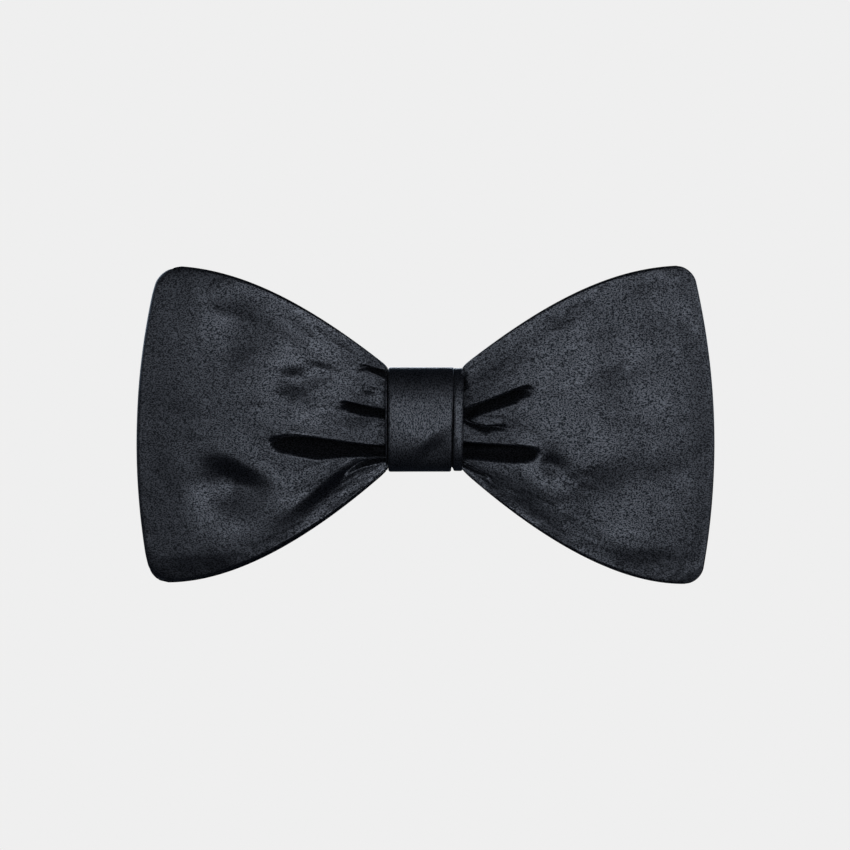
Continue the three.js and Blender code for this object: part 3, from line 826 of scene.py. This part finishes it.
def knot_stitches():
    """Slip stitches down the knot's back, where the wrap's end is sewn down."""
    heights = np.arange(-SLIP_HALF_HEIGHT, SLIP_HALF_HEIGHT + 0.1, SLIP_PITCH)
    return [((0.4, -0.02, z), (1, 0, 0.5), SLIP_STITCH) for z in heights]


half_band = BAND_THICKNESS / 2
slider_end_out = slider_outer - SLIDER_END_IN
root_stitches = stitches("sewing_thread", [
    *bar_tack(LEFT, hook_along - TACK_FROM_HOOK, hook_inner - half_band),
    *label_stitches(),
    *knot_stitches(),
])
slider_stitches = stitches(
    "slider_loop_thread", bar_tack(LEFT, slider_along + TACK_FROM_SLIDER, slider_end_out - half_band))
eye_stitches = stitches(
    "eye_loop_thread", bar_tack(RIGHT, eye_along - TACK_FROM_EYE, eye_inner - half_band))


# -------------------------------------------------- materials

SATIN_DARK = (0.0085, 0.0096, 0.0122, 1)
SATIN_LIGHT = (0.0640, 0.0700, 0.0830, 1)
SATIN_SHEEN_TINT = (0.75, 0.85, 1.0, 1)
SATIN_EDGE_TINT = (0.72, 0.84, 1.0, 1)
NICKEL_DARK = (0.56, 0.55, 0.53, 1)
NICKEL_LIGHT = (0.72, 0.71, 0.69, 1)


class Nodes:
    """A material's node tree, with short calls to add and join nodes."""

    def __init__(self, name):
        self.material = bpy.data.materials.new(name)
        self.material.use_nodes = True
        self.tree = self.material.node_tree
        self.shader = self.tree.nodes["Principled BSDF"]

    def add(self, kind, **settings):
        """A new node, with its inputs or its properties set by name."""
        node = self.tree.nodes.new(kind)
        for key, value in settings.items():
            if key in node.inputs:
                node.inputs[key].default_value = value
            else:
                setattr(node, key, value)
        return node

    def join(self, source, target):
        """A link from an output to an input."""
        self.tree.links.new(source, target)

    def fix(self, **values):
        """Constants on the shader's own sockets."""
        for key, value in values.items():
            self.shader.inputs[key.replace("_", " ")].default_value = value

    def ramp(self, source, low, high, low_value=0, high_value=1):
        """A value that eases from low_value to high_value as source goes from low to high."""
        node = self.add("ShaderNodeMapRange", interpolation_type="SMOOTHSTEP")
        limits = {"From Min": low, "From Max": high, "To Min": low_value, "To Max": high_value}
        for key, value in limits.items():
            node.inputs[key].default_value = value
        self.join(source, node.inputs["Value"])
        return node.outputs["Result"]

    def base_colour(self, dark, light, source, low, high):
        """A base colour that goes from dark to light as source goes from low to high."""
        mix = self.add("ShaderNodeMix", data_type="RGBA")
        mix.inputs["A"].default_value = dark
        mix.inputs["B"].default_value = light
        self.join(self.ramp(source, low, high), mix.inputs["Factor"])
        self.join(mix.outputs["Result"], self.shader.inputs["Base Color"])

    def emboss(self, source, strength, distance):
        """Small bumps, distance metres high, that follow source."""
        bump = self.add("ShaderNodeBump", Strength=strength, Distance=distance)
        self.join(source, bump.inputs["Height"])
        self.join(bump.outputs["Normal"], self.shader.inputs["Normal"])


def satin(name, grain_stretch, tangent_axis):
    """Black satin: a broad sheen broken up by short slubs of yarn."""
    nodes = Nodes(name)
    where = nodes.add("ShaderNodeTexCoord").outputs["Object"]
    stretched = nodes.add("ShaderNodeMapping")
    stretched.inputs["Scale"].default_value = grain_stretch
    nodes.join(where, stretched.inputs["Vector"])
    grain = nodes.add("ShaderNodeTexNoise", Scale=2900.0, Detail=2.0, Roughness=0.7)
    nodes.join(stretched.outputs["Vector"], grain.inputs["Vector"])
    drift = nodes.add("ShaderNodeTexNoise", Scale=130.0, Detail=3.0, Roughness=0.55)
    nodes.join(where, drift.inputs["Vector"])
    nodes.base_colour(SATIN_DARK, SATIN_LIGHT, grain.outputs["Fac"], 0.42, 0.58)
    mottled = nodes.add("ShaderNodeMath", operation="ADD")
    nodes.join(nodes.ramp(grain.outputs["Fac"], 0.35, 0.65, 0.08, -0.08), mottled.inputs[0])
    nodes.join(nodes.ramp(drift.outputs["Fac"], 0.3, 0.7, 0.43, 0.50), mottled.inputs[1])
    nodes.join(mottled.outputs[0], nodes.shader.inputs["Roughness"])
    nodes.emboss(grain.outputs["Fac"], 1.0, 0.00003)
    tangent = nodes.add("ShaderNodeTangent", direction_type="RADIAL", axis=tangent_axis)
    nodes.join(tangent.outputs["Tangent"], nodes.shader.inputs["Tangent"])
    nodes.fix(Metallic=0.92, Specular_IOR_Level=0.5, Anisotropic=0.45, Sheen_Weight=0.03,
              Sheen_Roughness=0.4)
    nodes.shader.inputs["Sheen Tint"].default_value = SATIN_SHEEN_TINT
    nodes.shader.inputs["Specular Tint"].default_value = SATIN_EDGE_TINT
    return nodes.material


def plain_cloth(name, dark, light, scale):
    """A matt woven cloth, such as interlining or label tape."""
    nodes = Nodes(name)
    where = nodes.add("ShaderNodeTexCoord").outputs["Object"]
    weave = nodes.add("ShaderNodeTexNoise", Scale=scale, Detail=2.0, Roughness=0.6)
    nodes.join(where, weave.inputs["Vector"])
    nodes.base_colour((*dark, 1), (*light, 1), weave.outputs["Fac"], 0.3, 0.7)
    nodes.emboss(weave.outputs["Fac"], 0.6, 0.00006)
    nodes.fix(Roughness=0.9, Sheen_Weight=0.2)
    return nodes.material


def nickel(name):
    """Nickel-plated pressed steel with fine rolling lines."""
    nodes = Nodes(name)
    where = nodes.add("ShaderNodeTexCoord").outputs["Object"]
    stretched = nodes.add("ShaderNodeMapping")
    stretched.inputs["Scale"].default_value = (1, 1, 12)
    nodes.join(where, stretched.inputs["Vector"])
    lines = nodes.add("ShaderNodeTexNoise", Scale=600.0, Detail=4.0, Roughness=0.6)
    nodes.join(stretched.outputs["Vector"], lines.inputs["Vector"])
    nodes.join(nodes.ramp(lines.outputs["Fac"], 0.3, 0.7, 0.3, 0.42), nodes.shader.inputs["Roughness"])
    nodes.base_colour(NICKEL_DARK, NICKEL_LIGHT, lines.outputs["Fac"], 0.35, 0.65)
    nodes.emboss(lines.outputs["Fac"], 0.2, 0.00003)
    nodes.fix(Metallic=0.75)
    return nodes.material


def dress(obj, material):
    """Gives an object one material."""
    obj.data.materials.clear()
    obj.data.materials.append(material)


satin_across = satin("satin_wings", (1, 1, 1.5), "Z")
satin_upright = satin("satin_knot", (1.8, 1, 1), "X")
interlining_cloth = plain_cloth("interlining_canvas", (0.38, 0.36, 0.3), (0.62, 0.6, 0.52), 1800.0)
label_cloth = plain_cloth("label_tape", (0.02, 0.02, 0.024), (0.06, 0.06, 0.066), 2200.0)
thread = plain_cloth("black_thread", (0.012, 0.012, 0.015), (0.05, 0.05, 0.056), 5000.0)
fitting_metal = nickel("nickel_plate")

for piece in (front_face, front_lining, rear_face, rear_lining, left_band, left_return, right_band):
    dress(piece, satin_across)
for piece in (over_turn, under_turn):
    dress(piece, satin_upright)
for piece in (front_core, rear_core, knot_core, left_core, right_core):
    dress(piece, interlining_cloth)
dress(label, label_cloth)
for piece in (root_stitches, slider_stitches, eye_stitches):
    dress(piece, thread)
for node in ("hook", "eye", "slider"):
    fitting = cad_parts[node]
    dress(fitting, fitting_metal)
    edge_wear = fitting.modifiers.new("pressed_edges", "BEVEL")
    edge_wear.width = 0.2 * MM
    edge_wear.segments = 2
    edge_wear.limit_method = "ANGLE"


# -------------------------------------------------- what each piece rides on

for piece in (front_face, front_core, front_lining, rear_face, rear_core, rear_lining, over_turn,
              under_turn, knot_core, left_band, left_core, right_core, label, root_stitches):
    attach(piece, "root")
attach(slider_stitches, "slider")
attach(eye_stitches, "right_band_end")


def plan_point(sign, along):
    """The point in metres on the band's line, at the height of its middle."""
    x, y = place(sign, along, 0)
    return (x * MM, y * MM, 0)


side_end = RUNS[0][4] + RUNS[1][4] + RUNS[2][4]
plan_point(LEFT, side_end + RETURN_BEND_START)
plan_point(LEFT, slider_along + RETURN_BEND_END)
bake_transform(left_return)
# The hinge's place in plan, on the right strap's line.
hinge_x, hinge_y = place(RIGHT, pivot_along, 0)
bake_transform(right_band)

STANDS_FOR = [
    (front_face, "satin", "front_blade_face"),
    (front_core, "interlining", "front_blade_interlining"),
    (front_lining, "satin", "front_blade_lining"),
    (rear_face, "satin", "rear_blade_face"),
    (rear_core, "interlining", "rear_blade_interlining"),
    (rear_lining, "satin", "rear_blade_lining"),
    (over_turn, "satin", "knot_wrap_over"),
    (under_turn, "satin", "knot_wrap_under"),
    (knot_core, "interlining", "knot_interlining"),
    (left_band, "satin", "left_band_cover"),
    (left_core, "interlining", "left_band_interlining"),
    (left_return, "satin", "left_band_return", "left_band_slider_loop"),
    (right_band, "satin", "right_band_cover", "right_band_end"),
    (right_core, "interlining", "right_band_interlining"),
    (label, "label", "inside_label"),
]
for piece, slot, *nodes in STANDS_FOR:
    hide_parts(*nodes)


# -------------------------------------------------- light, floor and camera

BACKDROP = (0.8632, 0.8632, 0.8632, 1)
GLOW = (0.5, 0.65, 1, 1)
GLOW_STRENGTH = 0.035

# Each light: name, position and target in metres, size in metres, power in watts.
LIGHTS = [
    ("front_softbox", (0.075, -0.95, 0.09), (0, 0, 0), (0.46, 0.40), 3.15),
    ("left_front", (-0.95, -0.62, 0.15), (0, 0, 0), (0.5, 0.5), 1.7),
    ("right_front", (0.95, -0.62, 0.15), (0, 0, 0), (0.5, 0.5), 1.7),
    ("back_left", (-0.8, 0.85, 0.45), (0, 0.05, 0), (0.7, 0.7), 5.0),
    ("back_right", (0.85, 0.8, 0.35), (0, 0.05, 0), (0.7, 0.7), 4.0),
    ("back_softbox", (0.05, 1.15, 0.28), (0, 0.05, 0), (0.6, 0.5), 6.0),
]


def area_light(name, position, target, size, power):
    """A soft rectangular light that faces its target and isn't seen itself."""
    data = bpy.data.lights.new(name, "AREA")
    data.shape = "RECTANGLE"
    data.size, data.size_y = size
    data.energy = power
    light = bpy.data.objects.new(name, data)
    light.location = position
    light.visible_camera = False
    light.rotation_euler = (Vector(target) - Vector(position)).to_track_quat("-Z", "Y").to_euler()
    scene.collection.objects.link(light)


def make_floor():
    """A pale floor that glows evenly, like the backdrop, and gives the satin no light back."""
    rings, around, radius, height = 6, 64, 1.1, -0.33
    turn = np.linspace(0, 2 * math.pi, around, endpoint=False)
    points = [(0, 0, height)]
    for r in np.linspace(radius / rings, radius, rings):
        points.extend((r * math.cos(a), r * math.sin(a), height) for a in turn)
    faces = [(0, 1 + k, 1 + (k + 1) % around) for k in range(around)]
    faces += [quad[::-1] for quad in grid_faces(rings, around, start=1, close_columns=True)]
    floor = mesh_object("floor", np.array(points) / MM, faces)
    floor.visible_glossy = False
    floor.visible_diffuse = False
    nodes = Nodes("pale_floor")
    where = nodes.add("ShaderNodeTexCoord").outputs["Object"]
    speckle = nodes.add("ShaderNodeTexNoise", Scale=4.0, Detail=2.0)
    nodes.join(where, speckle.inputs["Vector"])
    nodes.join(nodes.ramp(speckle.outputs["Fac"], 0.3, 0.7, 0.85, 0.95), nodes.shader.inputs["Roughness"])
    nodes.fix(Base_Color=(0, 0, 0, 1), Specular_IOR_Level=0.0, Emission_Color=BACKDROP, Emission_Strength=1.0)
    dress(floor, nodes.material)


def make_studio():
    """A big soft light in front, weaker ones round the back, and a pale backdrop."""
    for light in LIGHTS:
        area_light(*light)
    world = bpy.data.worlds.new("studio")
    scene.world = world
    world.use_nodes = True
    tree = world.node_tree
    background = tree.nodes["Background"]
    output = tree.nodes["World Output"]
    background.inputs["Color"].default_value = BACKDROP
    glow = tree.nodes.new("ShaderNodeBackground")
    glow.inputs["Color"].default_value = GLOW
    glow.inputs["Strength"].default_value = GLOW_STRENGTH
    rays = tree.nodes.new("ShaderNodeLightPath")
    mix = tree.nodes.new("ShaderNodeMixShader")
    tree.links.new(rays.outputs["Is Camera Ray"], mix.inputs[0])
    tree.links.new(glow.outputs[0], mix.inputs[1])
    tree.links.new(background.outputs[0], mix.inputs[2])
    tree.links.new(mix.outputs[0], output.inputs["Surface"])


def make_camera():
    """Straight on, level with the knot, and far enough back for a flat view."""
    distance = 0.6
    frame_width = 0.1753  # across the picture at the bow's front
    data = bpy.data.cameras.new("camera")
    data.angle = 2 * math.atan(frame_width / 2 / distance)
    camera = bpy.data.objects.new("camera", data)
    bow_front, bow_middle = -0.012, -0.00114  # y and z
    camera.location = (0, bow_front - distance, bow_middle)
    camera.rotation_euler = (math.pi / 2, 0, 0)
    scene.collection.objects.link(camera)
    scene.camera = camera


scene.view_settings.view_transform = "Standard"
make_floor()
make_studio()
make_camera()
